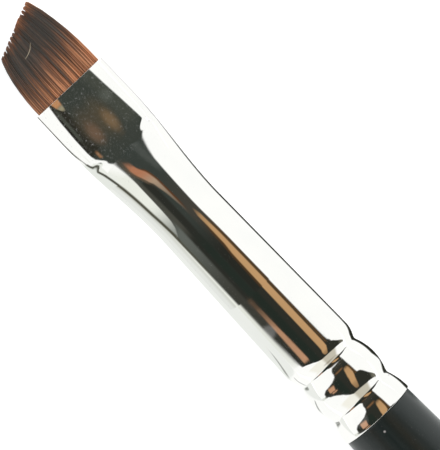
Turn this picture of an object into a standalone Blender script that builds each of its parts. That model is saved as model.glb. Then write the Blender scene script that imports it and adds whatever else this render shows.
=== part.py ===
"""Flat, angle-cut face painting brush, modelled in metres with +Z up.

The brush lies level on the belly of its handle, with a flat of its ferrule facing up. Along its axis, stations are
measured from the ferrule's mouth: the filaments reach to negative stations, and the handle to positive ones.
"""

from math import cos, pi, radians, sin, sqrt

import bmesh
import bpy
from mathutils import Vector, geometry

# Ferrule: one seamless plated brass tube, pressed flat at the mouth and left round at the handle.
FERRULE_LENGTH = 0.0350
FERRULE_WALL = 0.00022
MOUTH_WIDTH = 0.0068
MOUTH_DEPTH = 0.0032
MOUTH_FLAT = 0.0024
PANEL_LENGTH = 0.0054
PANEL_WIDTH = 0.0069
PANEL_DEPTH = 0.0034
PANEL_FLAT = 0.0042
CREASE_LENGTH = 0.0009
DEPTH_NECK_LENGTH = 0.0044
DEPTH_NECK_ROUND_SHARE = 0.45
WIDTH_NECK_START = 0.0036
WIDTH_NECK_LENGTH = 0.0104
NECK_DIAMETER = 0.00576
REAR_DIAMETER = 0.00662

# The two rolled crimps that lock the handle. Each bead between them is an arc that meets the next in a sharp groove.
END_RING_LENGTH = 0.0020
CRIMP_PITCH = 0.00365
CRIMP_DEPTH = 0.00040
CRIMP_RUN_IN = 0.0013

# Handle: turned wood with a tenon that the ferrule is crimped onto.
HANDLE_LENGTH = 0.1350
HANDLE_FRONT_DIAMETER = 0.00635
BELLY_DIAMETER = 0.0079
BELLY_DISTANCE = 0.0250
BELLY_LENGTH = 0.0100
TAIL_DIAMETER = 0.0046
TAIL_ROUND_LENGTH = 0.0021
SHOULDER_ROUND = 0.00012
SHOULDER_GAP = 0.00005
TENON_CLEARANCE = 0.0051
TENON_NOSE = 0.0008
BELLY_FRONT_PULL = 0.0120
BELLY_REAR_PULL = 0.0300
TAIL_PULL = 0.0420
FRONT_SLOPE_SHARE = 1.47
TAIL_SLOPE_SHARE = 0.8

# What is potted inside the ferrule.
GLUE_FILM = 0.00004
ROOT_START = 0.0010
ROOT_END = 0.0088
EPOXY_LENGTH = 0.0036
EPOXY_DISH = 0.0007
TENON_GLUE_LENGTH = 0.0011
TENON_GLUE_DISH = 0.0005

# A dish's rings, from its rim inwards, as shares of the rim's radius and of the dish's depth.
DISH_RADIUS_SHARES = (0.78, 0.42)
DISH_DEPTH_SHARES = (0.45, 0.86)

# Filament tuft: longest at the toe, on the +Y edge, and shortest at the heel.
TOE_REACH = 0.00715
TRIM_ANGLE = radians(24.0)
TOE_OFFSET = 0.0020
TIP_DEPTH = 0.0011
EDGE_DRAW_SHARE = 0.37
FILAMENT_DIAMETER = 0.000135
FILAMENT_EMBED = 0.00035
FILAMENT_LAYERS = 13
FILAMENT_COLUMNS = 36
FILAMENT_SIDES = 3
FILAMENT_MIDDLE_SHARE = 0.52
FILAMENT_MIDDLE_THICKNESS_SHARE = 0.82

# Facets round a section. Odd counts on the flats and a half step on turned pieces put a facet at the very bottom.
FLAT_FACETS = 9
END_FACETS = 13
CREASE_STATIONS = 3
NECK_STATIONS = 13
RUN_IN_STATIONS = 4
BEAD_STATIONS = 8
LAST_BEAD_STATIONS = 4
TURNED_FACETS = 24
EPOXY_STATIONS = 6
BEZIER_STATIONS = 5
DOME_STATIONS = 5
MERGE_DISTANCE = 1e-7

COLOURS = {
    "ferrule": ((0.86, 0.86, 0.83), 0.12, 1.0),
    "filament_tuft": ((0.11, 0.035, 0.014), 0.42, 0.0),
    "root_epoxy": ((0.42, 0.27, 0.10), 0.25, 0.0),
    "tenon_glue": ((0.80, 0.76, 0.62), 0.40, 0.0),
    "handle": ((0.012, 0.013, 0.014), 0.38, 0.0),
}


def blend(low, high, share):
    return low + (high - low) * share


def ease(share):
    """0 to 1 with level ends, held at them outside that range."""
    held = min(max(share, 0.0), 1.0)
    return held * held * (3.0 - 2.0 * held)


def round_off(share):
    """0 to 1 in a straight line that rounds off to level over its last DEPTH_NECK_ROUND_SHARE."""
    held = min(max(share, 0.0), 1.0)
    slope = 1 / (1 - DEPTH_NECK_ROUND_SHARE / 2)
    if held < 1 - DEPTH_NECK_ROUND_SHARE:
        return slope * held
    return 1 - slope * (1 - held) ** 2 / (2 * DEPTH_NECK_ROUND_SHARE)


def neck_end():
    return WIDTH_NECK_START + WIDTH_NECK_LENGTH


def cone_radius(station):
    """Outer radius of the tapered tube that the ferrule is drawn from, before flattening and crimping."""
    share = (station - neck_end()) / (FERRULE_LENGTH - neck_end())
    return blend(NECK_DIAMETER, REAR_DIAMETER, share) / 2


def grooves():
    """Stations of the two rolled grooves."""
    second = FERRULE_LENGTH - END_RING_LENGTH
    return second - CRIMP_PITCH, second


def crimp_dip(station):
    """How far the rolled crimps sink below the cone: parabolic arcs that meet in two grooves."""
    first, second = grooves()
    if station < first:
        share = 1 - (first - station) / CRIMP_RUN_IN
    elif station < second:
        share = abs(2 * (station - first) / CRIMP_PITCH - 1)
    else:
        share = 1 - (station - second) / END_RING_LENGTH
    return CRIMP_DEPTH * max(share, 0.0) ** 2


def tube_radius(station):
    return cone_radius(station) - crimp_dip(station)


def section_size(station, inset):
    """Half the width, depth and flat of the ferrule's section.

    The dies let go at the end of the panel. From there the depth rises at a slope and rounds off into the tube. The
    width draws in more slowly.
    """
    along = station / PANEL_LENGTH
    radius = tube_radius(station)
    to_round_y = ease((station - WIDTH_NECK_START) / WIDTH_NECK_LENGTH)
    to_round_z = round_off((station - PANEL_LENGTH) / DEPTH_NECK_LENGTH)
    half_width = blend(blend(MOUTH_WIDTH, PANEL_WIDTH, along) / 2, radius, to_round_y) - inset
    half_depth = blend(blend(MOUTH_DEPTH, PANEL_DEPTH, along) / 2, radius, to_round_z) - inset
    half_flat = blend(MOUTH_FLAT, PANEL_FLAT, min(along, 1.0)) / 2
    return half_width, half_depth, half_flat


def pressed_point(k, half_width, half_depth, half_flat):
    """A point of the section between the dies: two flats joined by half ellipses."""
    side = 1 if k < END_FACETS + FLAT_FACETS else -1
    step = k % (END_FACETS + FLAT_FACETS)
    if step > END_FACETS:
        return side * half_flat * (1 - 2 * (step - END_FACETS) / FLAT_FACETS), side * half_depth
    bend = pi * step / END_FACETS - pi / 2
    return side * (half_flat + (half_width - half_flat) * cos(bend)), side * half_depth * sin(bend)


def ferrule_ring(station, inset):
    """Section of the ferrule at a station, inset from its outer skin, as points with a fixed order all along it.

    Behind the panel, the flats give way to an oval over a short crease, and the oval grows round through the neck.
    """
    half_width, half_depth, half_flat = section_size(station, inset)
    to_oval = ease((station - PANEL_LENGTH) / CREASE_LENGTH)
    facets = 2 * (FLAT_FACETS + END_FACETS)
    points = []
    for k in range(facets):
        turn = 2 * pi * (k + FLAT_FACETS / 2) / facets - pi / 2
        flat_y, flat_z = pressed_point(k, half_width, half_depth, half_flat)
        y = blend(flat_y, half_width * cos(turn), to_oval)
        z = blend(flat_z, half_depth * sin(turn), to_oval)
        points.append(Vector((station, y, z)))
    return points


def spaced(low, high, steps):
    """Stations from low to high, low left out."""
    return [blend(low, high, (k + 1) / steps) for k in range(steps)]


def ferrule_stations():
    first, second = grooves()
    return [
        0.0,
        WIDTH_NECK_START,
        *spaced(WIDTH_NECK_START, PANEL_LENGTH, 1),
        *spaced(PANEL_LENGTH, PANEL_LENGTH + CREASE_LENGTH, CREASE_STATIONS),
        *spaced(PANEL_LENGTH + CREASE_LENGTH, neck_end(), NECK_STATIONS),
        *spaced(neck_end(), first - CRIMP_RUN_IN, 1),
        *spaced(first - CRIMP_RUN_IN, first, RUN_IN_STATIONS),
        *spaced(first, second, BEAD_STATIONS),
        *spaced(second, FERRULE_LENGTH, LAST_BEAD_STATIONS),
    ]


def material_for(name):
    colour, roughness, metallic = COLOURS[name]
    material = bpy.data.materials.new(name)
    material.use_nodes = True
    shader = material.node_tree.nodes["Principled BSDF"]
    shader.inputs["Base Color"].default_value = (*colour, 1.0)
    shader.inputs["Roughness"].default_value = roughness
    shader.inputs["Metallic"].default_value = metallic
    material.diffuse_color = (*colour, 1.0)
    return material


def finish_mesh(name, builder, parent, sharp_degrees=40.0):
    """Turns a bmesh into a shaded object that hangs from the brush's axis."""
    bmesh.ops.recalc_face_normals(builder, faces=builder.faces)
    mesh = bpy.data.meshes.new(name)
    builder.to_mesh(mesh)
    builder.free()
    mesh.shade_smooth()
    mesh.set_sharp_from_angle(angle=radians(sharp_degrees))
    made = bpy.data.objects.new(name, mesh)
    bpy.context.scene.collection.objects.link(made)
    made.parent = parent
    return made


def join_rings(builder, rings, closed):
    """Quads between neighbouring rings. A closed run joins its last ring to its first, and an open one gets caps."""
    loops = [[builder.verts.new(point) for point in ring] for ring in rings]
    pairs = list(zip(loops, loops[1:]))
    if closed:
        pairs.append((loops[-1], loops[0]))
    else:
        builder.faces.new(loops[0])
        builder.faces.new(loops[-1])
    for near, far in pairs:
        for k in range(len(near)):
            after = (k + 1) % len(near)
            builder.faces.new((near[k], near[after], far[after], far[k]))


def lofted(name, rings, parent, closed=False):
    builder = bmesh.new()
    join_rings(builder, rings, closed)
    return finish_mesh(name, builder, parent)


def turned(name, profile, parent):
    """A lathe piece from (station, radius) points, spun about the brush's axis."""
    builder = bmesh.new()
    start = pi / TURNED_FACETS
    chain = [builder.verts.new((x, r * sin(start), -r * cos(start))) for x, r in profile]
    edges = [builder.edges.new(pair) for pair in zip(chain, chain[1:])]
    bmesh.ops.spin(
        builder, geom=chain + edges, cent=(0, 0, 0), axis=(1, 0, 0), angle=2 * pi, steps=TURNED_FACETS, use_merge=True
    )
    bmesh.ops.remove_doubles(builder, verts=builder.verts, dist=MERGE_DISTANCE)
    return finish_mesh(name, builder, parent)


def build_ferrule(parent):
    stations = ferrule_stations()
    outer = [ferrule_ring(station, 0.0) for station in stations]
    inner = [ferrule_ring(station, FERRULE_WALL) for station in reversed(stations)]
    return lofted("ferrule", outer + inner, parent, closed=True)


def epoxy_rear():
    return ROOT_END + GLUE_FILM + EPOXY_LENGTH


def tenon_front():
    """The tenon stops short of the epoxy, so that the ferrule can be pushed home before it is crimped."""
    return epoxy_rear() + TENON_CLEARANCE


def bore_radius(station):
    """Radius that a potted or pressed-in piece has inside the round part of the ferrule."""
    return tube_radius(station) - FERRULE_WALL - GLUE_FILM


def tenon_profile():
    front = tenon_front()
    nose_end = front + TENON_NOSE
    face_radius = bore_radius(front) - TENON_NOSE / 2
    nose = [(front, 0.0), (front, face_radius), (nose_end, bore_radius(nose_end))]
    return nose + [(s, bore_radius(s)) for s in ferrule_stations() if s > nose_end]


def handle_corners():
    """Where the handle's outline turns: its front edge, the belly's two ends, and the start of the round tail."""
    start = FERRULE_LENGTH + SHOULDER_GAP
    front = Vector((start + SHOULDER_ROUND, HANDLE_FRONT_DIAMETER / 2, 0))
    belly = Vector((start + BELLY_DISTANCE, BELLY_DIAMETER / 2, 0))
    waist = belly + Vector((BELLY_LENGTH, 0, 0))
    tail = Vector((start + HANDLE_LENGTH - TAIL_ROUND_LENGTH, TAIL_DIAMETER / 2, 0))
    return front, belly, waist, tail


def handle_outline():
    """Stations and radii of the visible handle, up to where its tail rounds over."""
    front, belly, waist, tail = handle_corners()
    rise = FRONT_SLOPE_SHARE * BELLY_FRONT_PULL * (belly.y - front.y) / (belly.x - front.x)
    fall = TAIL_SLOPE_SHARE * TAIL_PULL * (waist.y - tail.y) / (tail.x - waist.x)
    front_pull = front + Vector((BELLY_FRONT_PULL, rise, 0))
    ahead = belly - Vector((BELLY_FRONT_PULL, 0, 0))
    behind = waist + Vector((BELLY_REAR_PULL, 0, 0))
    tail_pull = tail + Vector((-TAIL_PULL, fall, 0))
    swell = geometry.interpolate_bezier(front, front_pull, ahead, belly, BEZIER_STATIONS)
    taper = geometry.interpolate_bezier(waist, behind, tail_pull, tail, BEZIER_STATIONS)
    return [(p.x, p.y) for p in swell + taper]


def tail_dome():
    """The rounded end, from the last station of the outline to a point on the axis."""
    tail = handle_corners()[-1]
    dome = []
    for k in range(1, DOME_STATIONS + 1):
        turn = pi / 2 * k / DOME_STATIONS
        radius = tail.y * cos(turn) if k < DOME_STATIONS else 0.0
        dome.append((tail.x + TAIL_ROUND_LENGTH * sin(turn), radius))
    return dome


def build_handle(parent):
    tenon = tenon_profile()
    face = FERRULE_LENGTH + SHOULDER_GAP
    shoulder = [(face, tenon[-1][1]), (face, HANDLE_FRONT_DIAMETER / 2 - SHOULDER_ROUND)]
    return turned("handle", tenon + shoulder + handle_outline() + tail_dome(), parent)


def build_root_epoxy(parent):
    """The cured resin behind the filament roots, with a dished rear where it crept up the wall."""
    front = ROOT_END + GLUE_FILM
    rear = epoxy_rear()
    inset = FERRULE_WALL + GLUE_FILM
    rings = [ferrule_ring(s, inset) for s in [front, *spaced(front, rear, EPOXY_STATIONS)]]
    rim = rings[-1]
    for width, sink in zip(DISH_RADIUS_SHARES, DISH_DEPTH_SHARES):
        rings.append([Vector((rear - EPOXY_DISH * sink, p.y * width, p.z * width)) for p in rim])
    return lofted("root_epoxy", rings, parent)


def build_tenon_glue(parent):
    """Wood glue that the tenon pushed ahead of itself, cured as a dished disc against its nose."""
    rear = tenon_front() - GLUE_FILM
    front = rear - TENON_GLUE_LENGTH
    rim = bore_radius(front)
    dish = [(front, rim)]
    for width, sink in zip(DISH_RADIUS_SHARES, DISH_DEPTH_SHARES):
        dish.append((front + TENON_GLUE_DISH * sink, rim * width))
    dish.append((front + TENON_GLUE_DISH, 0.0))
    return turned("tenon_glue", dish[::-1] + [(rear, bore_radius(rear)), (rear, 0.0)], parent)


def tuft_scale(reach):
    """How much of the mouth's width and depth the tuft keeps at a distance in front of the mouth."""
    share = reach / TOE_REACH
    width = 1 - EDGE_DRAW_SHARE * share**2
    inner_depth = MOUTH_DEPTH - 2 * FERRULE_WALL
    depth = 1 - (1 - TIP_DEPTH / inner_depth) * share**1.5
    return width, depth


def trimmed_reach(y):
    """Distance from the mouth at which a filament at this height across the tuft was trimmed."""
    slope = sin(TRIM_ANGLE) / cos(TRIM_ANGLE)
    return TOE_REACH + (y - TOE_OFFSET) * slope


def filament_seats():
    """Where each filament stands in the mouth: layers through the depth, spaced evenly along each layer."""
    margin = FERRULE_WALL + GLUE_FILM + FILAMENT_DIAMETER / 2
    half_width = MOUTH_WIDTH / 2 - margin
    half_depth = MOUTH_DEPTH / 2 - margin
    half_flat = MOUTH_FLAT / 2
    seats = []
    for layer in range(FILAMENT_LAYERS):
        height = 2 * layer / (FILAMENT_LAYERS - 1) - 1
        reach = half_flat + (half_width - half_flat) * sqrt(1 - height**2)
        columns = round(FILAMENT_COLUMNS * reach / half_width)
        for column in range(columns):
            across = 2 * column / (columns - 1) - 1
            seats.append((reach * across, half_depth * height, (layer + column) % 2))
    return seats


def filament_ring(centre, radius, flip):
    corners = []
    for k in range(FILAMENT_SIDES):
        turn = 2 * pi * k / FILAMENT_SIDES + pi * flip
        corners.append(centre + Vector((0, radius * cos(turn), radius * sin(turn))))
    return corners


def add_filament(builder, y, z, flip):
    """One tapered strand: from inside the bonded root, through a bend, to its trimmed point."""
    reach = trimmed_reach(y)
    for _ in range(4):
        reach = trimmed_reach(y * tuft_scale(reach)[0])
    middle = reach * FILAMENT_MIDDLE_SHARE
    radius = FILAMENT_DIAMETER / 2
    rings = [filament_ring(Vector((ROOT_START + FILAMENT_EMBED, y, z)), radius, flip)]
    width, depth = tuft_scale(middle)
    thinner = radius * FILAMENT_MIDDLE_THICKNESS_SHARE
    rings.append(filament_ring(Vector((-middle, y * width, z * depth)), thinner, flip))
    width, depth = tuft_scale(reach)
    tip = builder.verts.new((-reach, y * width, z * depth))
    loops = [[builder.verts.new(point) for point in ring] for ring in rings]
    builder.faces.new(loops[0])
    for k in range(FILAMENT_SIDES):
        after = (k + 1) % FILAMENT_SIDES
        builder.faces.new((loops[0][k], loops[0][after], loops[1][after], loops[1][k]))
        builder.faces.new((loops[1][k], loops[1][after], tip))


def build_tuft(parent):
    """The filaments and the slice of bundle that resin bonds into one block inside the ferrule."""
    strands = bmesh.new()
    seats = filament_seats()
    for y, z, flip in seats:
        add_filament(strands, y, z, flip)
    filaments = finish_mesh("filament_strands", strands, parent)
    filaments.hide_render = True
    filaments.display_type = "WIRE"
    inset = FERRULE_WALL + GLUE_FILM
    stations = [s for s in ferrule_stations() if ROOT_START < s < ROOT_END]
    rings = [ferrule_ring(s, inset) for s in [ROOT_START, *stations, ROOT_END]]
    tuft = lofted("filament_tuft", rings, parent)
    fuse = tuft.modifiers.new("fuse_filaments", "BOOLEAN")
    fuse.operation = "UNION"
    fuse.solver = "EXACT"
    fuse.object = filaments
    print(f"{len(seats)} filaments")
    return tuft


def lay_down(axis):
    """Rests the belly on the ground, where the brush balances level, with the origin under its middle."""
    bpy.context.view_layer.update()
    meshes = [thing for thing in bpy.data.objects if thing.type == "MESH"]
    corners = [thing.matrix_world @ v.co for thing in meshes for v in thing.data.vertices]
    middle = (min(p.x for p in corners) + max(p.x for p in corners)) / 2
    axis.location = (-middle, 0.0, -min(p.z for p in corners))


def main():
    for old in list(bpy.data.objects):
        bpy.data.objects.remove(old, do_unlink=True)
    axis = bpy.data.objects.new("brush_axis", None)
    bpy.context.scene.collection.objects.link(axis)
    pieces = [
        build_ferrule(axis),
        build_tuft(axis),
        build_root_epoxy(axis),
        build_tenon_glue(axis),
        build_handle(axis),
    ]
    for piece in pieces:
        piece.data.materials.append(material_for(piece.name))
    lay_down(axis)


main()
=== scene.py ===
# %% [markdown]
# # A flat, angle-cut face painting brush
#
# This lesson dresses a plain CAD brush until it looks like the real one on a white table. The ferrule is
# only 35 mm long and under 7 mm wide. Up close, three surfaces carry the picture: polished metal that shows
# the studio around it, a tuft of fine brown filaments, and satin black lacquer.
#
# The CAD model comes in first, as a fixed frame. Everything made later is placed by its boxes.

from math import cos, pi, radians, sin, sqrt, tan

import bmesh
import bpy
import numpy as np
from mathutils import Matrix, Vector

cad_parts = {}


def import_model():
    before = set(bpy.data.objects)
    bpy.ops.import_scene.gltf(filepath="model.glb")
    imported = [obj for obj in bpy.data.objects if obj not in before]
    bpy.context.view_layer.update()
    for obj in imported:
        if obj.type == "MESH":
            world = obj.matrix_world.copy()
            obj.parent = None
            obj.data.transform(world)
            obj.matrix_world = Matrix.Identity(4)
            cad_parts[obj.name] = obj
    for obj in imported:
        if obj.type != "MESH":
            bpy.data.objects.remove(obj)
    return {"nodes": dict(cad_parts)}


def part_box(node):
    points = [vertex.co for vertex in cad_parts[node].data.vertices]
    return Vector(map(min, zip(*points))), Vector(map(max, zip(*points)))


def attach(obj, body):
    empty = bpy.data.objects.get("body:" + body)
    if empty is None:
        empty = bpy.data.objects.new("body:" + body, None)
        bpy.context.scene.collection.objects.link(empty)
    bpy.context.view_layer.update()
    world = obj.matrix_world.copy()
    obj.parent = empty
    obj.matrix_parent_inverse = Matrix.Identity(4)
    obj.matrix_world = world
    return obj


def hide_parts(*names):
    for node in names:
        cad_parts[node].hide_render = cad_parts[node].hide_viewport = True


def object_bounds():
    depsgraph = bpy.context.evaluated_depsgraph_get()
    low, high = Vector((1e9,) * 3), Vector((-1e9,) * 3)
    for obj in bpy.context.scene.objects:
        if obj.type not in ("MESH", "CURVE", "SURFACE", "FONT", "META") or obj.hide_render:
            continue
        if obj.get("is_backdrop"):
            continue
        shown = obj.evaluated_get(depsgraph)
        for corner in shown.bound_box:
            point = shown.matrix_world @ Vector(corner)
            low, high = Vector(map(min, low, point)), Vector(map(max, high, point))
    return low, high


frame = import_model()
cad_low, cad_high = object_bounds()
print("CAD nodes:", ", ".join(sorted(frame["nodes"])))
print("CAD box in mm:", [round(1000 * v, 2) for v in (*cad_low, *cad_high)])

# %% [markdown]
# ## Where the brush lies
#
# The brush lies level along X. The ferrule's mouth is the zero for measuring along it: filaments reach
# forward from it, the handle runs back. The CAD boxes give the mouth's place and the axis's height.

# %% Read the mouth and the axis from the CAD
MOUTH_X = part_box("ferrule")[0].x
handle_low, handle_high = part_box("handle")
AXIS_Z = (handle_low.z + handle_high.z) / 2
TOE_LIMIT = MOUTH_X - cad_low.x
print(f"mouth at x = {1000 * MOUTH_X:.2f} mm, axis at z = {1000 * AXIS_Z:.2f} mm")


def on_axis(station, y, z):
    """A point given by its distance behind the mouth and its place across the brush."""
    return (MOUTH_X + station, y, AXIS_Z + z)


# %% [markdown]
# ## A mesh from rings
#
# Ferrule, roots and handle are long shapes with one closed section after another. One helper lays rings of
# points in a row and joins neighbours with quads. NumPy builds the index table in one go, which is quick
# even for fifty thousand faces. The rings also give a tidy UV map: round the tube one way, along it the
# other.

# %% Helpers that join rings into a mesh
SHARP_EDGE = radians(35.0)


def add_object(name, data):
    """An object in the scene that shows a mesh, a lamp or a camera."""
    made = bpy.data.objects.new(name, data)
    bpy.context.scene.collection.objects.link(made)
    return made


def ring_faces(ring_count, points_per_ring, closed_run):
    """Corner numbers of the quads between rings; a closed run joins its last ring to its first."""
    runs = ring_count if closed_run else ring_count - 1
    near = np.arange(runs)[:, None] * points_per_ring
    far = (np.arange(runs)[:, None] + 1) % ring_count * points_per_ring
    here = np.arange(points_per_ring)[None, :]
    after = (here + 1) % points_per_ring
    return np.stack([near + here, near + after, far + after, far + here], -1).reshape(-1, 4)


def add_tube_map(mesh, ring_count, points_per_ring):
    """One UV map: U round the tube and V along it."""
    layer = mesh.uv_layers.new(name="OFBake")
    count = len(mesh.loops)
    corner = np.zeros(count, np.int32)
    mesh.loops.foreach_get("vertex_index", corner)
    u = (corner % points_per_ring) / points_per_ring
    v = (corner // points_per_ring) / ring_count
    starts = np.zeros(len(mesh.polygons), np.int32)
    sizes = np.zeros(len(mesh.polygons), np.int32)
    mesh.polygons.foreach_get("loop_start", starts)
    mesh.polygons.foreach_get("loop_total", sizes)
    wide = np.maximum.reduceat(u, starts)[np.repeat(np.arange(len(starts)), sizes)]
    tall = np.maximum.reduceat(v, starts)[np.repeat(np.arange(len(starts)), sizes)]
    u = np.where(wide - u > 0.5, u + 1.0, u)
    v = np.where(tall - v > 0.5, v + 1.0, v)
    shrink = 1 / (1 + 1 / points_per_ring)
    pairs = np.stack([u * shrink, v * ring_count / (ring_count + 1)], 1)
    layer.data.foreach_set("uv", pairs.ravel())


def ringed_piece(name, rings, closed_run=False):
    """A smooth mesh through the rings, capped at both ends unless the run is closed."""
    rings = np.asarray(rings, float)
    count, around = rings.shape[:2]
    faces = ring_faces(count, around, closed_run).tolist()
    if not closed_run:
        faces.append(list(range(around))[::-1])
        faces.append([(count - 1) * around + k for k in range(around)])
    mesh = bpy.data.meshes.new(name)
    mesh.from_pydata(rings.reshape(-1, 3).tolist(), [], faces)
    add_tube_map(mesh, count, around)
    builder = bmesh.new()
    builder.from_mesh(mesh)
    bmesh.ops.recalc_face_normals(builder, faces=builder.faces)
    builder.to_mesh(mesh)
    builder.free()
    mesh.shade_smooth()
    mesh.set_sharp_from_angle(angle=SHARP_EDGE)
    print(f"{name}: {count} rings of {around} points")
    return add_object(name, mesh)


# %% [markdown]
# ## The ferrule's shape
#
# The ferrule is one seamless tube, pressed flat in front and rolled in at two grooves to lock the handle. A
# reflection bends wherever a polished surface bends, so this shape needs far more rings than the CAD solid.
#
# At the front the section is two flats joined by half ellipses. Then comes a crease, and behind it an oval
# that grows into the round tube, quickly in depth and slowly in width.

# %% The size of the section along the ferrule
FERRULE_LENGTH = 0.0350
FERRULE_WALL = 0.00022
MOUTH_WIDTH, MOUTH_DEPTH, MOUTH_FLAT = 0.0068, 0.0032, 0.0024
PANEL_LENGTH, PANEL_WIDTH, PANEL_DEPTH, PANEL_FLAT = 0.0054, 0.0069, 0.0034, 0.0042
CREASE_LENGTH = 0.0009
DEPTH_NECK_LENGTH, DEPTH_NECK_ROUND_SHARE = 0.0044, 0.45
WIDTH_NECK_START, WIDTH_NECK_LENGTH = 0.0036, 0.0104
NECK_END = WIDTH_NECK_START + WIDTH_NECK_LENGTH
NECK_DIAMETER, REAR_DIAMETER = 0.00576, 0.00662


def blend(low, high, share):
    return low + (high - low) * share


def ease(share):
    """0 to 1 with level ends."""
    held = np.clip(share, 0.0, 1.0)
    return held * held * (3.0 - 2.0 * held)


def round_off(share):
    """0 to 1 in a straight line that rounds off to level at its end."""
    held = min(max(share, 0.0), 1.0)
    slope = 1 / (1 - DEPTH_NECK_ROUND_SHARE / 2)
    if held < 1 - DEPTH_NECK_ROUND_SHARE:
        return slope * held
    return 1 - slope * (1 - held) ** 2 / (2 * DEPTH_NECK_ROUND_SHARE)


# %% [markdown]
# ## The rolled crimps
#
# In the CAD solid the arcs of the crimps meet in sharp lines. A crimping wheel has a rounded edge, so here
# the profile is averaged over that edge, a third of a millimetre wide. That rounds the bottom of each
# groove and hardly changes the beads.

# %% The crimped tube's radius
END_RING_LENGTH, CRIMP_PITCH = 0.0020, 0.00365
CRIMP_DEPTH, CRIMP_RUN_IN = 0.00040, 0.0013
WHEEL_EDGE = 0.00034
SECOND_GROOVE = FERRULE_LENGTH - END_RING_LENGTH
FIRST_GROOVE = SECOND_GROOVE - CRIMP_PITCH


def sharp_dip(station):
    """How far the rolled crimps sink below the drawn tube: arcs that meet in two grooves."""
    if station < FIRST_GROOVE:
        share = 1 - (FIRST_GROOVE - station) / CRIMP_RUN_IN
    elif station < SECOND_GROOVE:
        share = abs(2 * (station - FIRST_GROOVE) / CRIMP_PITCH - 1)
    else:
        share = 1 - (station - SECOND_GROOVE) / END_RING_LENGTH
    return CRIMP_DEPTH * max(share, 0.0) ** 2


def crimp_dip(station):
    """The dip averaged over the rounded edge of the crimping wheel."""
    return sum(sharp_dip(station + WHEEL_EDGE * k / 8) for k in range(-4, 5)) / 9


def tube_radius(station):
    share = (station - NECK_END) / (FERRULE_LENGTH - NECK_END)
    return blend(NECK_DIAMETER, REAR_DIAMETER, share) / 2 - crimp_dip(station)


# %% [markdown]
# ## One ring of the ferrule
#
# The ring's points are worked out twice, on the pressed section and on the oval, and blended over the short
# crease. Both lists start at the same place and run the same way round, so the blend never folds.

# %% The ring at one station
def ferrule_section(station, inset, flat_steps=28, end_steps=44):
    """One ring of the ferrule, inset from its outer skin."""
    along = station / PANEL_LENGTH
    radius = tube_radius(station)
    to_round_y = ease((station - WIDTH_NECK_START) / WIDTH_NECK_LENGTH)
    to_round_z = round_off((station - PANEL_LENGTH) / DEPTH_NECK_LENGTH)
    half_width = blend(blend(MOUTH_WIDTH, PANEL_WIDTH, along) / 2, radius, to_round_y) - inset
    half_depth = blend(blend(MOUTH_DEPTH, PANEL_DEPTH, along) / 2, radius, to_round_z) - inset
    half_flat = blend(MOUTH_FLAT, PANEL_FLAT, min(along, 1.0)) / 2
    half = flat_steps + end_steps
    k = np.arange(2 * half)
    side = np.where(k < half, 1.0, -1.0)
    step = k % half
    bend = pi * np.minimum(step, end_steps) / end_steps - pi / 2
    run = 1 - 2 * (step - end_steps) / flat_steps
    rounded = step <= end_steps
    end_y = half_flat + (half_width - half_flat) * np.cos(bend)
    pressed_y = side * np.where(rounded, end_y, half_flat * run)
    pressed_z = side * np.where(rounded, half_depth * np.sin(bend), half_depth)
    turn = 2 * pi * (k + flat_steps / 2) / (2 * half) - pi / 2
    to_oval = ease((station - PANEL_LENGTH) / CREASE_LENGTH)
    y = blend(pressed_y, half_width * np.cos(turn), to_oval)
    z = blend(pressed_z, half_depth * np.sin(turn), to_oval)
    return np.stack([np.full_like(y, MOUTH_X + station), y, AXIS_Z + z], 1)


# %% [markdown]
# ## The ferrule's rings
#
# Rings are spent where the shape changes: at the rim, in the crease, in the neck and over the crimps. The
# rim's edge is rounded by a few hundredths of a millimetre and catches a thin line of light.

# %% Stations, rim and the finished ferrule
EDGE_ROUND = 0.00004
RIM_ROOM = 0.0004


def spaced(low, high, steps):
    """Stations from low to high, low left out."""
    return [blend(low, high, (k + 1) / steps) for k in range(steps)]


def rim_rings(end, inward, steps=5):
    """The rounded edges of a cut end, from bore to outer skin; inward is the way into the tube."""
    rings = []
    for middle, start in ((FERRULE_WALL - EDGE_ROUND, 0.0), (EDGE_ROUND, pi / 2)):
        for k in range(steps + 1):
            turn = start + pi / 2 * k / steps
            depth = EDGE_ROUND * (1 - sin(turn))
            rings.append(ferrule_section(end + inward * depth, middle + EDGE_ROUND * cos(turn)))
    return rings


marks = [
    (EDGE_ROUND, 0),
    (PANEL_LENGTH, 30),
    (PANEL_LENGTH + CREASE_LENGTH, 20),
    (NECK_END, 70),
    (FIRST_GROOVE - CRIMP_RUN_IN, 40),
    (FIRST_GROOVE - WHEEL_EDGE, 20),
    (FIRST_GROOVE + WHEEL_EDGE, 10),
    (SECOND_GROOVE - WHEEL_EDGE, 40),
    (SECOND_GROOVE + WHEEL_EDGE, 10),
    (FERRULE_LENGTH - EDGE_ROUND, 24),
]
outer_stations = []
for (low, _), (high, steps) in zip(marks, marks[1:]):
    outer_stations += spaced(low, high, steps)
inner_stations = outer_stations[::-4]
rings = rim_rings(0.0, 1)
rings += [ferrule_section(s, 0.0) for s in outer_stations[:-1]]
rings += rim_rings(FERRULE_LENGTH, -1)[::-1]
rings += [ferrule_section(s, FERRULE_WALL) for s in inner_stations[1:] if s > RIM_ROOM]
ferrule = ringed_piece("ferrule_tube", rings, closed_run=True)
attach(ferrule, "root")
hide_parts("ferrule")

# %% [markdown]
# ## Node helpers
#
# Every finish is a small network of shader nodes. One helper starts a material, one adds a node with its
# settings, and one fills a node's inputs with values or links.

# %% Helpers for materials
def start_material(name):
    material = bpy.data.materials.new(name)
    material.use_nodes = True
    tree = material.node_tree
    return material, tree, tree.nodes["Principled BSDF"]


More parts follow.
